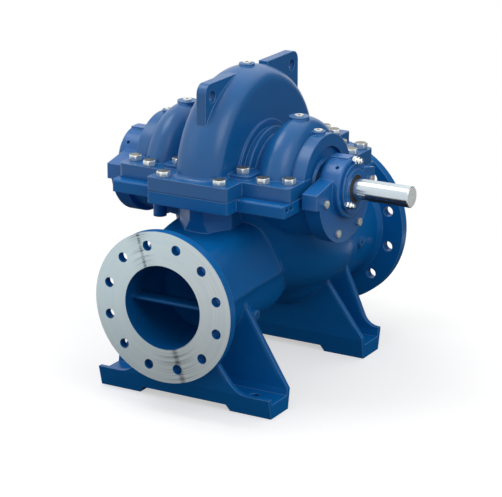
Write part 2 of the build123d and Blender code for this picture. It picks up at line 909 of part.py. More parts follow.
def add_lug(edge_y, toward):
    """Triangular lifting lug on the crown, with its hole. toward is the inward Y sign."""
    hole_y = edge_y + toward * lug_hole_inset
    with BuildSketch(Plane.YZ) as plate:
        with BuildLine():
            Polyline(
                (edge_y, shaft_height + lug_foot_rise),
                (edge_y, lug_top_z),
                (edge_y + toward * lug_length, lug_top_z),
                (edge_y + toward * lug_length, shaft_height + lug_foot_rise),
                close=True,
            )
        make_face()
        tip = plate.vertices().filter_by(
            lambda corner: abs(corner.X - edge_y) < 0.01 and abs(corner.Y - lug_top_z) < 0.01
        )
        fillet(tip, lug_corner_radius)
        with Locations((hole_y, lug_top_z - lug_hole_drop)):
            Circle(lug_hole_radius, mode=Mode.SUBTRACT)
    extrude(plate.sketch, amount=lug_thickness / 2, both=True)


def add_flank_pad(side, end):
    """Raised pad for the bolt in the corner between the volute and the bell."""
    x, y = flank_pad
    with BuildSketch(Plane.XY.offset(flange_top_z)) as pad:
        with Locations((side * x, end * y)):
            RectangleRounded(flank_pad_size, flank_pad_size, flank_pad_corner)
    extrude(pad.sketch, amount=flank_pad_height)


# Upper half of the casing with its lifting lugs and bosses
with BuildPart() as upper_casing:
    add_dome()
    add_flange(
        split_high_z,
        upper_flange_thickness,
        upper_side_half_length,
        upper_side_front_y,
        side_corner_radius,
    )
    dome_foot = edges().filter_by(
        lambda edge: abs(edge.center().Z - flange_top_z) < 0.01
        and abs(edge.center().X) < volute_half_width + 1
        and flange_front_y + 1 < edge.center().Y < flange_rear_y - 1
    )
    fillet(dome_foot, dome_foot_radius)
    for side in (1, -1):
        add_upper_seal_chamber(side)
        column(side * bell_boss_x, 0, shaft_height, bell_boss_top_z, bell_boss_radius)
        column(side * ring_boss_x, 0, shaft_height, ring_boss_top_z, ring_boss_radius)
        add_flank_pad(side, -1)
        add_flank_pad(side, 1)
    add_lug(front_lug_y, 1)
    add_lug(rear_lug_y, -1)
    column(0, vent_y, shaft_height, vent_boss_top_z, vent_boss_radius)
    keep_between(split_high_z, envelope_size)
    add(wet_space.part, mode=Mode.SUBTRACT)
    for side in (1, -1):
        for x, y in side_bolts:
            column(side * x, y, flange_top_z, flange_top_z + spot_face_height, spot_face_radius,
                   mode=Mode.SUBTRACT)
        column(side * bell_boss_x, 0, bell_boss_top_z - plug_thread_depth, bell_boss_top_z,
               plug_thread_radius + slip_gap, mode=Mode.SUBTRACT)
        column(side * ring_boss_x, 0, ring_boss_top_z - plug_thread_depth, ring_boss_top_z,
               plug_thread_radius + slip_gap, mode=Mode.SUBTRACT)
    column(0, vent_y, vent_boss_top_z - plug_thread_depth, vent_boss_top_z,
           plug_thread_radius + slip_gap, mode=Mode.SUBTRACT)
upper_casing.part.label = "upper_casing"
export_step(upper_casing.part, "parts/upper_casing.step")

# Flat gasket between the halves
with BuildPart() as split_gasket:
    add_flange(split_low_z, gasket_thickness, upper_side_half_length, upper_side_front_y,
               side_corner_radius)
    add(wet_space.part, mode=Mode.SUBTRACT)
split_gasket.part.label = "split_gasket"
export_step(split_gasket.part, "parts/split_gasket.step")

# Stepped shaft with the free drive end
with BuildPart() as shaft:
    turn_shaft([
        (-shaft_far_end_x, 0),
        (-shaft_far_end_x, bearing_seat_radius),
        (-shaft_step_x, bearing_seat_radius),
        (-shaft_step_x, shaft_seal_radius),
        (-sleeve_end_x, shaft_seal_radius),
        (-sleeve_end_x, shaft_middle_radius),
        (sleeve_end_x, shaft_middle_radius),
        (sleeve_end_x, shaft_seal_radius),
        (shaft_step_x, shaft_seal_radius),
        (shaft_step_x, bearing_seat_radius),
        (shaft_shoulder_x, bearing_seat_radius),
        (shaft_shoulder_x, shaft_radius),
        (shaft_end_x - shaft_chamfer, shaft_radius),
        (shaft_end_x, shaft_radius - shaft_chamfer),
        (shaft_end_x, centre_hole_radius),
        (shaft_end_x - centre_hole_depth, 0),
    ])
shaft.part.label = "shaft"
export_step(shaft.part, "parts/shaft.step")

# Double suction impeller: a central web, curved vanes each side and two shrouds
with BuildPart() as shrouds:
    for side in (1, -1):
        turn_shaft([
            (shroud_end_x, impeller_eye_radius - shroud_thickness),
            (shroud_end_x, impeller_eye_radius),
            *shroud_points,
            (shroud_tip_x, impeller_radius),
            (shroud_tip_inner_x, impeller_radius),
            *shroud_inner_points,
        ], side)
    hub_side = [
        (impeller_half_length, shaft_middle_radius + slip_gap),
        (impeller_half_length, hub_radius),
        *hub_points,
        (web_tip_x, impeller_radius),
    ]
    turn_shaft([*hub_side, *[(-x, radius) for x, radius in reversed(hub_side)]])
with BuildPart() as vane_space:
    vane_side = [*vane_points, (vane_tip_x, impeller_radius - vane_tip_drop)]
    turn_shaft([*vane_side, *[(-x, radius) for x, radius in reversed(vane_side)]])
with BuildSketch(Plane(origin=(0, 0, shaft_height), x_dir=(0, 1, 0), z_dir=(1, 0, 0))) as blade:
    with BuildLine():
        outer_side = CenterArc(vane_centre, vane_camber_radius + vane_thickness / 2,
                               vane_start_angle, vane_sweep)
        inner_side = CenterArc(vane_centre, vane_camber_radius - vane_thickness / 2,
                               vane_start_angle, vane_sweep)
        Line(outer_side @ 0, inner_side @ 0)
        Line(outer_side @ 1, inner_side @ 1)
    make_face()
with BuildPart() as vanes:
    for index in range(vane_count):
        turned_blade = blade.sketch.rotate(shaft_axis, index * 360 / vane_count)
        extrude(turned_blade, amount=impeller_half_length, both=True)
    add(vane_space.part, mode=Mode.INTERSECT)
with BuildPart() as impeller:
    add(shrouds.part)
    add(vanes.part)
impeller.part.label = "impeller"
export_step(impeller.part, "parts/impeller.step")

for side, end_name in ((1, "drive_end"), (-1, "non_drive_end")):
    with BuildPart() as wear_ring:
        turn_shaft([
            (wear_ring_start_x, impeller_eye_radius + wear_ring_gap),
            (wear_ring_start_x, wear_ring_outer_radius - slip_gap),
            (wear_ring_end_x, wear_ring_outer_radius - slip_gap),
            (wear_ring_end_x, impeller_eye_radius + wear_ring_gap),
        ], side)
    wear_ring.part.label = "wear_ring_" + end_name
    export_step(wear_ring.part, "parts/wear_ring_" + end_name + ".step")

    with BuildPart() as sleeve:
        turn_shaft([
            (sleeve_start_x, shaft_middle_radius + slip_gap),
            (sleeve_start_x, sleeve_radius),
            (sleeve_end_x, sleeve_radius),
            (sleeve_end_x, shaft_middle_radius + slip_gap),
        ], side)
    sleeve.part.label = "shaft_sleeve_" + end_name
    export_step(sleeve.part, "parts/shaft_sleeve_" + end_name + ".step")

    # Seal plate seated on the bottom of its pocket
    with BuildPart() as gland:
        turn_shaft([
            (gland_pocket_start_x, gland_bore_radius),
            (gland_pocket_start_x, gland_pocket_radius - 4 * slip_gap),
            (gland_pocket_start_x + gland_thickness, gland_pocket_radius - 4 * slip_gap),
            (gland_pocket_start_x + gland_thickness, gland_nose_radius),
            (gland_pocket_start_x + gland_thickness + gland_nose_length,
             gland_nose_radius - gland_nose_taper),
            (gland_pocket_start_x + gland_thickness + gland_nose_length, gland_bore_radius),
        ], side)
    gland.part.label = "seal_plate_" + end_name
    export_step(gland.part, "parts/seal_plate_" + end_name + ".step")

    with BuildPart() as flinger:
        turn_shaft([
            (flinger_x, shaft_seal_radius + slip_gap),
            (flinger_x, flinger_radius - flinger_lip_drop),
            (flinger_x + flinger_lip, flinger_radius),
            (flinger_x + flinger_thickness, flinger_radius),
            (flinger_x + flinger_thickness, shaft_seal_radius + slip_gap),
        ], side)
    flinger.part.label = "flinger_" + end_name
    export_step(flinger.part, "parts/flinger_" + end_name + ".step")

    # Bearing housing: half disc with two ears, round barrel and flat on its top
    barrel_end = barrel_end_x if side > 0 else barrel_end_x_far
    hole_angle = barrel_hole_angle if side > 0 else barrel_hole_angle_far
    seat_x = chamber_end(side)
    with BuildPart() as housing:
        with BuildSketch(Plane.YZ.offset(side * seat_x)) as disc:
            with BuildLine():
                rim_y = sqrt(housing_disc_radius ** 2 - ear_bottom_drop ** 2)
                Polyline(
                    (-rim_y, shaft_height - ear_bottom_drop),
                    (-ear_half_width, shaft_height - ear_bottom_drop),
                    (-ear_half_width, shaft_height + ear_outer_rise),
                    (-ear_inner_y, shaft_height + ear_inner_rise),
                    (ear_inner_y, shaft_height + ear_inner_rise),
                    (ear_half_width, shaft_height + ear_outer_rise),
                    (ear_half_width, shaft_height - ear_bottom_drop),
                    (rim_y, shaft_height - ear_bottom_drop),
                )
                ThreePointArc(
                    (rim_y, shaft_height - ear_bottom_drop),
                    (0, shaft_height - housing_disc_radius),
                    (-rim_y, shaft_height - ear_bottom_drop),
                )
            make_face()
        extrude(disc.sketch, amount=side * housing_disc_thickness)
        turn_shaft([
            (seat_x, 0),
            (seat_x, barrel_radius - barrel_foot_drop),
            (seat_x + barrel_foot_length, barrel_radius),
            (barrel_end - barrel_edge, barrel_radius),
            (barrel_end, barrel_radius - barrel_edge),
            (barrel_end, 0),
        ], side)
        with BuildSketch(Plane.XY.offset(shaft_height)) as pad:
            with Locations((side * (seat_x + barrel_end) / 2, 0)):
                Rectangle(barrel_end - seat_x - barrel_pad_margin, 2 * barrel_pad_half_width)
        extrude(pad.sketch, amount=barrel_radius + barrel_pad_rise)
        turn_shaft([
            (seat_x - 1, 0),
            (seat_x - 1, bearing_seat_radius + running_gap),
            (barrel_end + 1, bearing_seat_radius + running_gap),
            (barrel_end + 1, 0),
        ], side, mode=Mode.SUBTRACT)
        hole_frame = Plane(
            origin=(side * (barrel_hole_x + seat_x - lower_chamber_end_x), 0, shaft_height),
            x_dir=(1, 0, 0),
            z_dir=Vector(0, 0, 1).rotate(Axis.X, hole_angle),
        )
        with BuildSketch(hole_frame.offset(barrel_radius)) as hole:
            Circle(barrel_hole_radius)
        extrude(hole.sketch, amount=-barrel_hole_depth, mode=Mode.SUBTRACT)
    housing.part.label = "bearing_housing_" + end_name
    export_step(housing.part, "parts/bearing_housing_" + end_name + ".step")

# Bearing covers: open at the drive end, closed at the other
with BuildPart() as cover:
    turn_shaft([
        (barrel_end_x, cover_bore_radius),
        (barrel_end_x, cover_radius),
        (barrel_end_x + cover_thickness, cover_radius),
        (barrel_end_x + cover_thickness, cover_step_radius),
        (barrel_end_x + cover_thickness + cover_step_thickness, cover_step_radius),
        (barrel_end_x + cover_thickness + cover_step_thickness, cover_bore_radius),
    ])
    with BuildSketch(Plane.YZ.offset(barrel_end_x + cover_thickness)) as screws:
        with Locations((0, shaft_height)):
            with PolarLocations(cover_screw_circle, cover_screw_count, start_angle=180 / cover_screw_count):
                Circle(cover_screw_radius)
    extrude(screws.sketch, amount=-cover_screw_depth, mode=Mode.SUBTRACT)
cover.part.label = "bearing_cover_drive_end"
export_step(cover.part, "parts/bearing_cover_drive_end.step")

with BuildPart() as end_cap:
    turn_shaft([
        (barrel_end_x_far, 0),
        (barrel_end_x_far, end_cap_radius),
        (barrel_end_x_far + end_cap_thickness - end_cap_edge, end_cap_radius),
        (barrel_end_x_far + end_cap_thickness, end_cap_radius - end_cap_edge),
        (barrel_end_x_far + end_cap_thickness, 0),
    ], -1)
end_cap.part.label = "bearing_cover_non_drive_end"
export_step(end_cap.part, "parts/bearing_cover_non_drive_end.step")


def make_plug(name, x, y, top_z):
    """Round headed socket plug screwed down into a boss."""
    with BuildPart() as plug:
        column(x, y, top_z, top_z + plug_height, plug_radius)
        column(x, y, top_z - plug_thread_depth + plug_bottom_gap, top_z, plug_thread_radius)
        with BuildSketch(Plane.XY.offset(top_z + plug_height)) as socket:
            with Locations((x, y)):
                RegularPolygon(plug_socket_radius, 6)
        extrude(socket.sketch, amount=-plug_socket_depth, mode=Mode.SUBTRACT)
    plug.part.label = name
    export_step(plug.part, "parts/" + name + ".step")


make_plug("vent_plug", 0, vent_y, vent_boss_top_z)
for side, end_name in ((1, "drive_end"), (-1, "non_drive_end")):
    make_plug("bell_plug_" + end_name, side * bell_boss_x, 0, bell_boss_top_z)
    make_plug("flush_plug_" + end_name, side * ring_boss_x, 0, ring_boss_top_z)


def make_nipple(name, side, y, z, start_x):
    """Grease nipple with hexagon, neck and ball head, pointing along the shaft."""
    with BuildPart() as nipple:
        with BuildSketch(Plane.YZ.offset(side * start_x)) as hexagon:
            with Locations((y, z)):
                RegularPolygon(nipple_radius, 6)
        extrude(hexagon.sketch, amount=side * nipple_length * nipple_hexagon_share)
        neck_end_x = start_x + nipple_length * nipple_neck_share
        cross_column(y, z, side * start_x, side * neck_end_x, nipple_neck_radius)
        cross_column(y, z, side * neck_end_x, side * (start_x + nipple_length), nipple_head_radius)
    nipple.part.label = name
    export_step(nipple.part, "parts/" + name + ".step")


for side, end_name, face_x, cover_face_x in (
    (1, "drive_end", barrel_end_x, barrel_end_x + cover_thickness),
    (-1, "non_drive_end", barrel_end_x_far, barrel_end_x_far + end_cap_thickness),
):
    top_y, top_rise = top_nipples[end_name]
    make_nipple("grease_nipple_top_" + end_name, side, top_y, shaft_height + top_rise, face_x)
    make_nipple("grease_nipple_low_" + end_name, side, low_nipple[0],
                shaft_height + low_nipple[1], cover_face_x)
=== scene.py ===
"""Looks of a horizontal split case pump: blue enamel, turned flange faces, a ground shaft,
bronze wet parts, zinc plated screws and plugs, turned grease nipples and a rubber lip seal.

Metres. X runs along the shaft to the drive end, Y from the discharge side to the suction side,
Z is up, and the origin is on the floor between the feet.
"""

from math import cos, pi, radians, sin

import bpy
import numpy as np
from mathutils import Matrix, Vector


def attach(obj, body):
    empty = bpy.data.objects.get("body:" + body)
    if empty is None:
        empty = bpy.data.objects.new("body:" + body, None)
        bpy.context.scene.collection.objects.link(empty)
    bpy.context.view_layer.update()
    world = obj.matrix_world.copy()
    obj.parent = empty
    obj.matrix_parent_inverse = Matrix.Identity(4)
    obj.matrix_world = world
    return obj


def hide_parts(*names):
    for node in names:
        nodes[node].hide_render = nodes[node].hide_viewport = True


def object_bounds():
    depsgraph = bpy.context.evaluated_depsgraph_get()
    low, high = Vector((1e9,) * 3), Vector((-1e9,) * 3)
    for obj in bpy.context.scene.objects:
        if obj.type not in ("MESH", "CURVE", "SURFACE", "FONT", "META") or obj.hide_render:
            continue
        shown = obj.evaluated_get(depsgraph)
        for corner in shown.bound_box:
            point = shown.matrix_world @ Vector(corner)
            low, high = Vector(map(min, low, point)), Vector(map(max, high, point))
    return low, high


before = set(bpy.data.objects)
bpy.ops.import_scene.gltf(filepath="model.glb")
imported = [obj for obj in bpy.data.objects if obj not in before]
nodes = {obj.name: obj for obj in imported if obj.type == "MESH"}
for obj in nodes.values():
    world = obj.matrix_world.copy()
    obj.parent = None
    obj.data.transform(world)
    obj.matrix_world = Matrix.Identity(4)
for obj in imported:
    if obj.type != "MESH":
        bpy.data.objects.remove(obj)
cad_low, cad_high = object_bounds()


def rgb(red, green, blue):
    return (red, green, blue, 1.0)


# Levels and faces of the pump that finishes and small pieces follow
shaft_height = 0.494
nozzle_height = 0.259
discharge_face_y, suction_face_y = cad_low[1], cad_high[1]
discharge_bore_radius = 0.100
shaft_end_face_x = cad_high[0]
split_top = 0.5275
pad_top = 0.5365

# Tones of the blue enamel, from deep to light
# The upper casing's pair is a darker, greyer copy of the same enamel: painted haze for how light
# falls on it
upper_casing_painted_haze_blues = rgb(0.004, 0.104, 0.315), rgb(0.008, 0.134, 0.395)
housing_blues = rgb(0.002, 0.117, 0.385), rgb(0.004, 0.150, 0.475)
cast_blues = rgb(0.001, 0.117, 0.375), rgb(0.003, 0.152, 0.470)
# Pale blue of the painted highlight along the enamel's edges
painted_edge_highlight_blue = rgb(0.15, 0.32, 0.64)
# Dark blue of the painted shade in the mouth of the discharge bore
painted_bore_shade_blue = rgb(0.0, 0.030, 0.120)

# How far round a corner the enamel gets its painted edge highlight, and how wide a foundry fillet
# is
edge_highlight_radius = 0.003
fillet_radius = 0.018

# Where the lower casing has foundry fillets: between its flanges, above the feet, below the split
fillets_from_y, fillets_to_y = -0.336, 0.425
fillets_from_z, fillets_to_z = 0.060, 0.405

# Painted dark reflection streaks on the turned nozzle faces: place across, place up, tilt in
# radians, half width
dark_reflection_streaks = [(-0.051, 0.118, 0.265, 0.007), (0.043, -0.135, 0.303, 0.012)]

# Key sockets of the plugs: distance from the middle of the pump along the shaft, and y
plug_places = [(0.152, 0.0), (0.203, 0.0), (0.0, 0.021)]
# Radii of the painted shade in each key socket: dark within the inner radius, blending out to the
# rim
plug_socket_inner, plug_socket_rim = 0.0036, 0.0040


class Finish:
    """A material and the nodes that make it."""

    def __init__(self, name):
        self.material = bpy.data.materials.new(name)
        self.material.use_nodes = True
        self.tree = self.material.node_tree
        self.tree.nodes.clear()
        self.output = self.node("ShaderNodeOutputMaterial")
        self.place = self.node("ShaderNodeTexCoord").outputs["Object"]
        parts = self.node("ShaderNodeSeparateXYZ", {}, {"Vector": self.place})
        self.x, self.y, self.z = (Channel(self, parts.outputs[axis]) for axis in "XYZ")

    def node(self, kind, settings=(), sockets=()):
        """Adds one node: its settings first, then the values or links of its sockets."""
        made = self.tree.nodes.new(kind)
        for key, value in dict(settings).items():
            setattr(made, key, value)
        for key, value in dict(sockets).items():
            self.feed(made.inputs[key], value)
        return made

    def feed(self, socket, value):
        source = getattr(value, "socket", value)
        if isinstance(source, bpy.types.NodeSocket):
            self.tree.links.new(source, socket)
        else:
            socket.default_value = source

    def surface(self, **sockets):
        """One Principled shader as the whole surface."""
        shader = self.node("ShaderNodeBsdfPrincipled", {}, {
            key.replace("_", " "): value for key, value in sockets.items()
        })
        self.feed(self.output.inputs["Surface"], shader.outputs[0])

    def noise(self, scale, detail=3.0, place=None, roughness=0.5):
        made = self.node("ShaderNodeTexNoise", {}, {
            "Vector": place or self.place, "Scale": scale, "Detail": detail, "Roughness": roughness,
        })
        return Channel(self, made.outputs["Fac"])

    def blend(self, share, first, second):
        """Colour that goes from first to second as share goes from 0 to 1."""
        mixed = self.node("ShaderNodeMix", {"data_type": "RGBA"}, {
            "Factor": share, 6: first, 7: second,
        })
        return mixed.outputs[2]

    def mix_vector(self, share, first, second):
        """Direction that goes from first to second as share goes from 0 to 1."""
        mixed = self.node("ShaderNodeMix", {"data_type": "VECTOR"}, {
            "Factor": share, 4: first, 5: second,
        })
        return mixed.outputs[1]

    def vector(self, x, y, z):
        return self.node("ShaderNodeCombineXYZ", {}, {"X": x, "Y": y, "Z": z}).outputs[0]


class Channel:
    """A number that varies over a surface. Arithmetic on it adds Math nodes."""

    def __init__(self, finish, socket):
        self.finish, self.socket = finish, socket

    def math(self, operation, *values):
        made = self.finish.node("ShaderNodeMath", {"operation": operation}, enumerate(values))
        return Channel(self.finish, made.outputs[0])

    def __add__(self, other):
        return self.math("ADD", self, other)

    def __radd__(self, other):
        return self.math("ADD", other, self)

    def __sub__(self, other):
        return self.math("SUBTRACT", self, other)

    def __rsub__(self, other):
        return self.math("SUBTRACT", other, self)

    def __mul__(self, other):
        return self.math("MULTIPLY", self, other)

    def __rmul__(self, other):
        return self.math("MULTIPLY", other, self)

    def size(self):
        return self.math("ABSOLUTE", self)

    def root(self):
        return self.math("SQRT", self)

    def above(self, low, high):
        """0 below low, 1 above high, smooth between."""
        made = self.finish.node("ShaderNodeMapRange", {"interpolation_type": "SMOOTHSTEP"}, {
            "Value": self, "From Min": low, "From Max": high,
        })
        return Channel(self.finish, made.outputs[0])


def enamel(finish, deep, light, cast_share=None):
    """Satin enamel over sand cast iron: a little uneven in tone, finely pitted, and lightened along
    edges as a painted highlight. Where cast_share is 1, walls run into each other in wide foundry
    fillets.
    Returns its colour, roughness and surface direction."""
    edge = finish.node("ShaderNodeBevel", {"samples": 8}, {"Radius": edge_highlight_radius}).outputs[0]
    flat = finish.node("ShaderNodeNewGeometry").outputs["True Normal"]
    turned = finish.node("ShaderNodeVectorMath", {"operation": "DOT_PRODUCT"}, {0: edge, 1: flat})
    edge_highlight_share = (1.0 - Channel(finish, turned.outputs["Value"])).above(0.01, 0.16)
    if cast_share:
        fillet = finish.node("ShaderNodeBevel", {"samples": 10}, {"Radius": fillet_radius})
        edge = finish.mix_vector(cast_share, edge, fillet.outputs[0])
    drift = finish.noise(4.0)
    cloud = finish.noise(23.0, 4.0)
    grain = finish.noise(310.0, 3.0)
    hills = finish.noise(60.0, 2.0)
    skin = finish.node("ShaderNodeBump", {}, {
        "Strength": 0.2, "Distance": 0.0006, "Height": grain + 0.8 * hills, "Normal": edge,
    })
    colour = finish.blend(0.6 * drift + 0.4 * cloud, deep, light)
    # Painted highlight: edges are lightened towards the pale blue
    colour = finish.blend(0.75 * edge_highlight_share, colour, painted_edge_highlight_blue)
    return colour, 0.24 + 0.14 * cloud, skin.outputs[0]


def casing_paint(name, blues):
    """Blue enamel of the upper casing, bearing housings, covers and seal plates."""
    finish = Finish(name)
    colour, roughness, normal = enamel(finish, *blues)
    finish.surface(Base_Color=colour, Roughness=roughness, Normal=normal, Specular_IOR_Level=0.5)
    return finish.material


def lathe_marks(finish, up, radius, fineness, spread, detail=2.0, roughness=0.5):
    """Noise drawn out into rings about the nozzle's axis. It changes fineness times in a metre
    of radius, and only spread times in a metre across the face."""
    place = finish.vector(radius * fineness, finish.x * spread, up * spread)
    return finish.noise(1.0, detail, place, roughness)


def painted_dark_streaks_on_face(finish, up, rings, fine_rings):
    """Share of painted dark reflection on a nozzle face: a narrow line for each streak, and a faint
    band six times as wide that stays in the finest rings."""
    line, faint_band = 0.0, 0.0
    for across, height, tilt, width in dark_reflection_streaks:
        off = (finish.x - across) * cos(tilt) + (up - height) * sin(tilt)
        same_side = (up * height + finish.x * across).above(0.0, 0.004)
        line = (1.0 - off.size().above(0.0, width)) * same_side + line
        faint_band = (1.0 - off.size().above(0.0, 6 * width)) * same_side + faint_band
    return 0.65 * line * rings.above(0.30, 0.60) + 0.6 * faint_band * fine_rings.above(0.52, 0.62)


def turned_flange_paint():
    """Blue enamel of the lower casing, with painted shade in the mouth of the discharge bore, and
    bare turned faces on both nozzle flanges that carry a painted reflection, painted ring
    highlights and painted dark reflection streaks."""
    finish = Finish("turned_flange_paint")
    body = (finish.y.above(fillets_from_y, fillets_from_y + 0.006)
            * (fillets_to_y - finish.y).above(0.0, 0.010)
            * finish.z.above(fillets_from_z, fillets_from_z + 0.030)
            * (fillets_to_z - finish.z).above(0.0, 0.010))
    enamel_colour, roughness, normal = enamel(finish, *cast_blues, body)

    up = finish.z - nozzle_height
    radius = (finish.x * finish.x + up * up).root()
    inside = (discharge_bore_radius + 0.0012 - radius).above(0.0, 0.0008)
    # Painted shade inside the mouth of the discharge bore
    bore_shade = inside * (-1 * finish.y).above(0.22, 0.30)
    enamel_colour = finish.blend(0.45 * bore_shade, enamel_colour, painted_bore_shade_blue)

    near_face, at_face = 0.00015, 0.00010
    bare_front = (-1 * finish.y).above(-discharge_face_y - near_face, -discharge_face_y - at_face)
    bare_rear = finish.y.above(suction_face_y - near_face, suction_face_y - at_face)
    bare = bare_front + bare_rear

    rings = lathe_marks(finish, up, radius, 330.0, 4.0, 3.0, 0.6)
    fine_rings = lathe_marks(finish, up, radius, 900.0, 3.0)
    broad_rings = lathe_marks(finish, up, radius, 90.0, 5.0)
    tone = (0.5 * rings + 0.2 * fine_rings + 0.3 * broad_rings).above(0.10, 0.90)
    # Painted reflection: the left of each turned face is tinted bluer, as a mirrored sky
    painted_sky_reflection = finish.blend(tone, rgb(0.70, 0.88, 0.98), rgb(0.86, 1.0, 1.0))
    plain = finish.blend(tone, rgb(0.68, 0.78, 0.82), rgb(0.85, 0.95, 0.99))
    turned = finish.blend((finish.x - 0.5 * up).above(-0.16, 0.14), painted_sky_reflection, plain)
    # Painted highlight: fine rings in one sector of each face are lightened to white
    ring_highlight_sector = (finish.x * 0.8 + up * 0.6 - 0.6 * radius).above(0.0, 0.06)
    painted_ring_highlight = ring_highlight_sector * fine_rings.above(0.55, 0.66)
    turned = finish.blend(0.8 * painted_ring_highlight, turned, rgb(0.98, 1.0, 1.0))
    # Painted dark reflection: dark radial streaks on the turned faces
    grease = painted_dark_streaks_on_face(finish, up, rings, fine_rings)
    turned = finish.blend(grease, turned, rgb(0.07, 0.08, 0.10))
    grooves = finish.node("ShaderNodeBump", {}, {
        "Strength": 0.15, "Distance": 0.0003, "Height": rings + fine_rings,
    })
    finish.surface(
        Base_Color=finish.blend(bare, enamel_colour, turned),
        Metallic=0.4 * bare,
        Specular_IOR_Level=0.22,
        Roughness=roughness + bare * (0.20 * rings - 0.02),
        Normal=finish.mix_vector(bare, normal, grooves.outputs[0]),
    )
    return finish.material


def metal(name, dark, bright, roughness, grain_scale, stretch=(1, 1, 1), strength=0.05,
          sheen=1.0, faced_from=None, painted_dark_top=None, sockets=()):
    """Bare metal with a fine lay and a slow change of tone. sheen is how much of it mirrors.
    stretch draws the lay out: it changes fastest along the axis with the largest number. Beyond
    faced_from along the shaft lies a duller, faced end. painted_dark_top is the colour of faces
    that point up, a painted dark reflection on the tops. sockets are the places of key sockets,
    which are darkened as painted shade in their recesses."""
    finish = Finish(name)
    lay = finish.vector(finish.x * stretch[0], finish.y * stretch[1], finish.z * stretch[2])
    fine = finish.noise(grain_scale, 3.0, lay)
    slow = finish.noise(30.0, 3.0)
    rounded = finish.node("ShaderNodeBevel", {"samples": 4}, {"Radius": 0.0008})
    skin = finish.node("ShaderNodeBump", {}, {
        "Strength": strength, "Distance": 0.0002, "Height": fine, "Normal": rounded.outputs[0],
    })
    colour = finish.blend(0.5 * fine + 0.5 * slow, dark, bright)
    rough, bare = roughness + 0.10 * (fine - 0.5), sheen
    if faced_from:
        faced = finish.x.above(faced_from, faced_from + 0.0002)
        colour = finish.blend(faced, colour, rgb(0.84, 0.90, 0.88))
        rough, bare = rough + 0.30 * faced, sheen - 0.85 * faced
    # Painted shade: each key socket is darkened and loses its sheen
    for across, back in sockets:
        aside, behind = finish.x.size() - across, finish.y - back
        outside_socket_shade = (aside * aside + behind * behind).root().above(plug_socket_inner, plug_socket_rim)
        colour = finish.blend(1.0 - outside_socket_shade, colour, rgb(0.015, 0.016, 0.018))
        bare = bare * outside_socket_shade
    # Painted dark reflection on faces that point up
    if painted_dark_top:
        flat = finish.node("ShaderNodeNewGeometry").outputs["True Normal"]
        up = Channel(finish, finish.node("ShaderNodeSeparateXYZ", {}, {0: flat}).outputs["Z"])
        colour = finish.blend(up.above(0.90, 0.96), colour, painted_dark_top)
    finish.surface(Base_Color=colour, Metallic=bare, Roughness=rough, Normal=skin.outputs[0])
    return finish.material


def soft_sheet(name, dark, light, roughness):
    """Rubber or gasket fibre: matt and slightly mottled."""
    finish = Finish(name)
    mottle = finish.noise(150.0, 3.0)
    skin = finish.node("ShaderNodeBump", {}, {
        "Strength": 0.1, "Distance": 0.0003, "Height": mottle,
    })
    finish.surface(
        Base_Color=finish.blend(mottle, dark, light),
        Roughness=roughness + 0.1 * mottle,
        Normal=skin.outputs[0],
    )
    return finish.material


def dress(material, *names):
    """Gives a material to the named parts of the pump."""
    for node_name in names:
        mesh = nodes[node_name].data
        mesh.materials.clear()
        mesh.materials.append(material)


def both_ends(*names):
    """The names of parts that the drive end and the non-drive end both have."""
    return [name + end for name in names for end in ("_drive_end", "_non_drive_end")]


plated = metal("zinc_plate", rgb(0.60, 0.62, 0.58), rgb(0.84, 0.86, 0.82), 0.30, 240.0, sheen=0.5)
bronze = metal("cast_bronze", rgb(0.38, 0.23, 0.09), rgb(0.55, 0.36, 0.16), 0.38, 260.0)
ground = metal("ground_steel", rgb(0.54, 0.62, 0.66), rgb(0.62, 0.70, 0.75), 0.20, 60.0,
               (3, 14, 14), 0.01, faced_from=shaft_end_face_x - 0.0006)
white_zinc = rgb(0.70, 0.73, 0.70), rgb(0.94, 0.97, 0.94)
screw_plate = metal("screw_plate", *white_zinc, 0.26, 240.0, sheen=0.6,
                    painted_dark_top=rgb(0.20, 0.20, 0.16))
plug_plate = metal("plug_plate", *white_zinc, 0.30, 240.0, sheen=0.4, sockets=plug_places)
chrome = metal("bright_plate", rgb(0.62, 0.65, 0.64), rgb(0.86, 0.89, 0.88), 0.12, 240.0)
gasket = soft_sheet("gasket_fibre", rgb(0.004, 0.030, 0.110), rgb(0.008, 0.050, 0.170), 0.6)
rubber = soft_sheet("rubber", rgb(0.012, 0.012, 0.013), rgb(0.03, 0.03, 0.032), 0.6)

dress(casing_paint("upper_casing_paint", upper_casing_painted_haze_blues), "upper_casing")
dress(casing_paint("housing_paint", housing_blues),
      *both_ends("bearing_cover", "bearing_housing", "seal_plate"))
dress(turned_flange_paint(), "lower_casing")
dress(ground, "shaft", *both_ends("shaft_sleeve"))
dress(bronze, "impeller", *both_ends("wear_ring"))
dress(plated, *both_ends("grease_nipple_top", "grease_nipple_low"))
dress(plug_plate, "vent_plug", *both_ends("bell_plug", "flush_plug"))
dress(gasket, "split_gasket")
dress(rubber, *both_ends("flinger"))


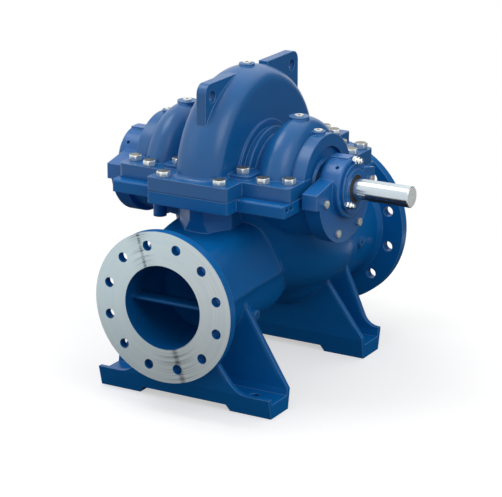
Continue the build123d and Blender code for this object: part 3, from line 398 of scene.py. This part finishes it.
def grid_piece(name, points, material, body="pump_body", hollow=False):
    """Mesh of many closed rings. points has the shape (copies, rings, steps, 3); the rings of one
    copy run from its foot to its tip, and the last ring shrinks to the pole, which closes it.
    A hollow piece has no pole: its last ring joins its first. Each face joins two neighbours on
    one ring to the same two steps of the ring above."""
    copies, rings, steps, _ = points.shape
    joined_rings = rings if hollow else rings - 1
    ring, step = np.meshgrid(np.arange(joined_rings), np.arange(steps), indexing="ij")
    following = (step + 1) % steps
    above = (ring + 1) % rings
    quads = np.stack([
        ring * steps + step, ring * steps + following,
        above * steps + following, above * steps + step,
    ], axis=-1).reshape(-1, 4)
    first = np.arange(copies)[:, None, None] * rings * steps
    faces = (quads[None] + first).reshape(-1, 4)
    mesh = bpy.data.meshes.new(name)
    mesh.vertices.add(copies * rings * steps)
    mesh.vertices.foreach_set("co", points.astype(np.float32).ravel())
    mesh.loops.add(faces.size)
    mesh.loops.foreach_set("vertex_index", faces.astype(np.int32).ravel())
    mesh.polygons.add(len(faces))
    mesh.polygons.foreach_set("loop_start", np.arange(0, faces.size, 4, dtype=np.int32))
    mesh.update(calc_edges=True)
    mesh.materials.append(material)
    made = bpy.data.objects.new(name, mesh)
    bpy.context.scene.collection.objects.link(made)
    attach(made, body)
    return made


def hexagon_radius(angle, across_flats):
    """Distance of a hexagon's side from its centre: half the width across flats over the cosine
    of the angle from the middle of the nearest flat."""
    sixth = pi / 3
    return across_flats / 2 / np.cos((angle + sixth / 2) % sixth - sixth / 2)


def standing(places, axis, radius, level):
    """Points of many equal pieces. radius has a row of distances from the piece's axis for each
    ring, level the height of each ring. places are the foot centres, axis the way out. A point
    is its foot centre, plus its distance from the axis towards its step's angle, plus its ring's
    height along the axis. Each piece is turned further round its axis than the one before."""
    steps = radius.shape[1]
    places = np.array(places, dtype=float)
    turn_between = 1.7
    step_angle = np.linspace(0, 2 * pi, steps, endpoint=False)
    angle = step_angle + np.arange(len(places))[:, None] * turn_between
    away = np.array(axis, dtype=float)
    slanting = (0.3, 0.5, 0.81)
    across = np.cross(away, slanting)
    across /= np.linalg.norm(across)
    along = np.cross(away, across)
    flat = np.cos(angle)[..., None] * across + np.sin(angle)[..., None] * along
    return (places[:, None, None] + flat[:, None] * radius[None, ..., None]
            + away * level[None, :, None, None])


def screw_heads(places, axis, across_flats, height, steps=72):
    """Hexagon heads on a turned collar. The corners are cut by a flat cone: each ring is the
    smaller of the hexagon and a circle that shrinks towards the top."""
    hexagon = hexagon_radius(np.linspace(0, 2 * pi, steps, endpoint=False), across_flats)
    collar = 0.485 * across_flats
    cone_drop, cone_spread = 0.046 * across_flats, 0.092 * across_flats
    sunk, collar_height, chamfer = -0.002, 0.0006, 0.0003
    head_foot, head_edge = 0.0007, 0.0010
    rows = [
        (collar, sunk), (collar, collar_height),
        (hexagon - chamfer, head_foot), (hexagon, head_edge),
    ]
    for share in (1.0, 0.75, 0.5, 0.25, 0.0):
        cut = np.minimum(hexagon, collar + share * cone_spread)
        rows.append((cut, height - share * cone_drop))
    rows += [(collar * 0.97, height), (collar * 0.5, height), (0.0, height)]
    radius = np.stack([row[0] * np.ones(steps) for row in rows])
    return standing(places, axis, radius, np.array([row[1] for row in rows]))


def grease_nipple(foot, axis, across_flats, length, steps=72):
    """Hexagon foot, short cylinder, cone and ball head. Each ring is the smaller of the hexagon
    and a circle. A row is a share of the length and a share of the corner radius."""
    hexagon = hexagon_radius(np.linspace(0, 2 * pi, steps, endpoint=False), across_flats)
    corner_radius = across_flats * 0.577
    rows = [
        (0.0, 0.86), (0.0, 0.90), (0.03, 1.0), (0.34, 1.0), (0.38, 0.92), (0.39, 0.62),
        (0.47, 0.62), (0.48, 0.80), (0.51, 0.84), (0.66, 0.84), (0.69, 0.78), (0.74, 0.46),
        (0.80, 0.44), (0.83, 0.56), (0.88, 0.61), (0.94, 0.55), (0.985, 0.36), (1.0, 0.16),
        (0.97, 0.10), (0.95, 0.0),
    ]
    radius = np.stack([np.minimum(hexagon, corner_radius * share) for _, share in rows])
    return standing([foot], axis, radius, np.array([length * place for place, _ in rows]))


flange_screw_across_flats = 0.0285
flange_screw_height = 0.0135
housing_screw_across_flats = 0.0175
housing_screw_height = 0.0070


def mirrored(places, level):
    """Points at one level: each place and its mirror image across the middle of the pump."""
    return [(side * x, y, level) for x, y in places for side in (1, -1)]


flange_screws = mirrored([
    (0.0745, -0.2335), (0.1520, -0.1700), (0.2070, -0.1460), (0.0470, 0.3230),
    (0.0860, 0.2990), (0.1500, 0.2130), (0.2040, 0.2140), (0.2085, 0.1560),
], split_top) + mirrored([(0.0860, -0.1460), (0.0860, 0.1460)], pad_top)
flange_screw_heads = grid_piece(
    "flange_screws",
    screw_heads(flange_screws, (0, 0, 1), flange_screw_across_flats, flange_screw_height),
    screw_plate)

housing_screw_places = [
    (-0.1035, 0.4790), (-0.0440, 0.3930), (0.0620, 0.3940), (0.1215, 0.4830),
]
for side, end, face_x in ((1, "drive_end", 0.278), (-1, "non_drive_end", 0.288)):
    places = [(side * face_x, y, z) for y, z in housing_screw_places]
    heads = grid_piece(
        "housing_screws_" + end,
        screw_heads(places, (side, 0, 0), housing_screw_across_flats, housing_screw_height),
        plated)

nipple_across_flats = 0.0175
nipple_length = 0.024
nipple_places = {
    "grease_nipple_top_drive_end": (0.294, 0.0040, 0.5600),
    "grease_nipple_low_drive_end": (0.300, -0.0455, 0.4657),
    "grease_nipple_top_non_drive_end": (-0.306, 0.0460, 0.5400),
    "grease_nipple_low_non_drive_end": (-0.315, -0.0455, 0.4657),
}
for node_name, foot in nipple_places.items():
    outward = (1 if foot[0] > 0 else -1, 0, 0)
    nipple = grid_piece(
        node_name.replace("grease", "turned"),
        grease_nipple(foot, outward, nipple_across_flats, nipple_length), chrome)
    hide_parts(node_name)


def lip_seal():
    """Ring turned about the shaft: a flat band in the cover's bore, a shallow hollow, and a lip
    that leans out towards the shaft. Each row is a radius and a place along the shaft, and a
    point is that place, with the radius times the cosine and sine of its turn beside it."""
    rows = np.array([
        (0.0329, 0.2980), (0.0279, 0.2980), (0.0279, 0.3042), (0.0262, 0.3044), (0.0253, 0.3062),
        (0.0256, 0.3070), (0.0266, 0.3066), (0.0282, 0.3050), (0.0300, 0.3044), (0.0318, 0.3046),
        (0.0329, 0.3042),
    ])
    turn = np.linspace(0, 2 * pi, 96, endpoint=False)
    radius, along = rows[:, :1], rows[:, 1:] + 0 * turn
    beside, above = radius * np.cos(turn), shaft_height + radius * np.sin(turn)
    return np.stack([along, beside, above], axis=-1)[None]


seal_lip = grid_piece("shaft_lip_seal", lip_seal(), rubber, hollow=True)


# Studio: pale floor, white surroundings and soft lamps
def link_stage(name, corners, material):
    """One flat four-cornered sheet of the studio."""
    mesh = bpy.data.meshes.new(name)
    mesh.from_pydata(corners, [], [(0, 1, 2, 3)])
    mesh.materials.append(material)
    sheet = bpy.data.objects.new(name, mesh)
    bpy.context.scene.collection.objects.link(sheet)
    return sheet


def studio_floor():
    """Matt floor that keeps the shadow near the pump and turns into the white surroundings
    further out, for the camera and in reflections."""
    finish = Finish("studio_floor")
    ray = finish.node("ShaderNodeLightPath")
    camera_ray, glossy_ray, clear_ray = (
        Channel(finish, ray.outputs[name])
        for name in ("Is Camera Ray", "Is Glossy Ray", "Is Transmission Ray"))
    distance = (finish.x * finish.x + finish.y * finish.y).root()
    lit = finish.blend(glossy_ray, rgb(0.22, 0.22, 0.22), rgb(0.04, 0.04, 0.04))
    matt = finish.node("ShaderNodeBsdfDiffuse", {}, {
        "Color": finish.blend(camera_ray, lit, rgb(0.66, 0.66, 0.66)),
    })
    glow = finish.node("ShaderNodeEmission", {}, {
        "Color": rgb(1, 1, 1), "Strength": 0.50 * camera_ray,
    })
    near = finish.node("ShaderNodeAddShader", {}, {0: matt.outputs[0], 1: glow.outputs[0]})
    white = finish.node("ShaderNodeEmission", {}, {"Color": rgb(1, 1, 1), "Strength": 1.0})
    far_seen = camera_ray * distance.above(0.8, 1.4)
    far_mirrored = (glossy_ray + clear_ray) * distance.above(0.90, 1.10)
    both = finish.node("ShaderNodeMixShader", {}, {
        0: far_seen + far_mirrored, 1: near.outputs[0], 2: white.outputs[0],
    })
    finish.feed(finish.output.inputs["Surface"], both.outputs[0])
    return finish.material


def dim_screen():
    """Faintly lit sheet of the dark screen."""
    finish = Finish("dark_screen")
    faint = finish.node("ShaderNodeEmission", {}, {"Color": rgb(1, 1, 1), "Strength": 0.12})
    finish.feed(finish.output.inputs["Surface"], faint.outputs[0])
    return finish.material


floor_reach, floor_level = 30.0, -0.0003
link_stage("studio_floor", [
    (-floor_reach, -floor_reach, floor_level), (floor_reach, -floor_reach, floor_level),
    (floor_reach, floor_reach, floor_level), (-floor_reach, floor_reach, floor_level),
], studio_floor())

# Upright dark sheet behind the pump on its right. Only reflections show it, so that the enamel
# on that side keeps its depth.
screen_height = 1.4
screen_inner, screen_outer = (0.10, 1.35), (1.40, 0.60)
screen = link_stage("dark_screen", [
    (*screen_inner, 0.0), (*screen_outer, 0.0),
    (*screen_outer, screen_height), (*screen_inner, screen_height),
], dim_screen())
screen.visible_camera = screen.visible_diffuse = screen.visible_shadow = False

# White surroundings, dimmer where they light matt surfaces
light_on_pump, white_seen = 0.54, 1.0
world = bpy.data.worlds.new("surroundings")
bpy.context.scene.world = world
world.use_nodes = True
background = world.node_tree.nodes["Background"]
light_path = world.node_tree.nodes.new("ShaderNodeLightPath")
strength = world.node_tree.nodes.new("ShaderNodeMapRange")
strength.inputs["To Min"].default_value = white_seen
strength.inputs["To Max"].default_value = light_on_pump
world.node_tree.links.new(light_path.outputs["Is Diffuse Ray"], strength.inputs["Value"])
world.node_tree.links.new(strength.outputs[0], background.inputs["Strength"])
background.inputs["Color"].default_value = rgb(1, 1, 1)

lamp_target = Vector((0.0, 0.0, 0.4))


def lamp(name, place, width, power):
    """Square area lamp that looks at the middle of the pump."""
    light = bpy.data.lights.new(name, "AREA")
    light.size = width
    light.energy = power
    made = bpy.data.objects.new(name, light)
    bpy.context.scene.collection.objects.link(made)
    made.location = place
    made.rotation_mode = "QUATERNION"
    made.rotation_quaternion = (lamp_target - Vector(place)).to_track_quat("-Z", "Y")


lamp("overhead", (-1.2, -0.4, 3.3), 1.6, 28)
lamp("left", (-3.2, -2.8, 2.6), 2.5, 10)
lamp("right", (3.0, -1.5, 3.2), 2.5, 42)
lamp("back", (0.0, 2.5, 3.2), 2.5, 10)

# Camera at the photographed angle
view_azimuth, view_elevation = radians(29.95), radians(17.69)
view_distance = 5.4014
view_target = Vector((0.0232, 0.0, 0.3041))
lens_mm, sensor_mm = 161.8, 36.0
towards_camera = Vector((
    sin(view_azimuth) * cos(view_elevation),
    -cos(view_azimuth) * cos(view_elevation),
    sin(view_elevation),
))
camera = bpy.data.objects.new("camera", bpy.data.cameras.new("camera"))
bpy.context.scene.collection.objects.link(camera)
camera.data.lens = lens_mm
camera.data.sensor_width = sensor_mm
camera.data.clip_end = 200.0
camera.location = view_target + view_distance * towards_camera
camera.rotation_mode = "QUATERNION"
camera.rotation_quaternion = (-towards_camera).to_track_quat("-Z", "Y")
bpy.context.scene.camera = camera
bpy.context.scene.view_settings.view_transform = "Standard"
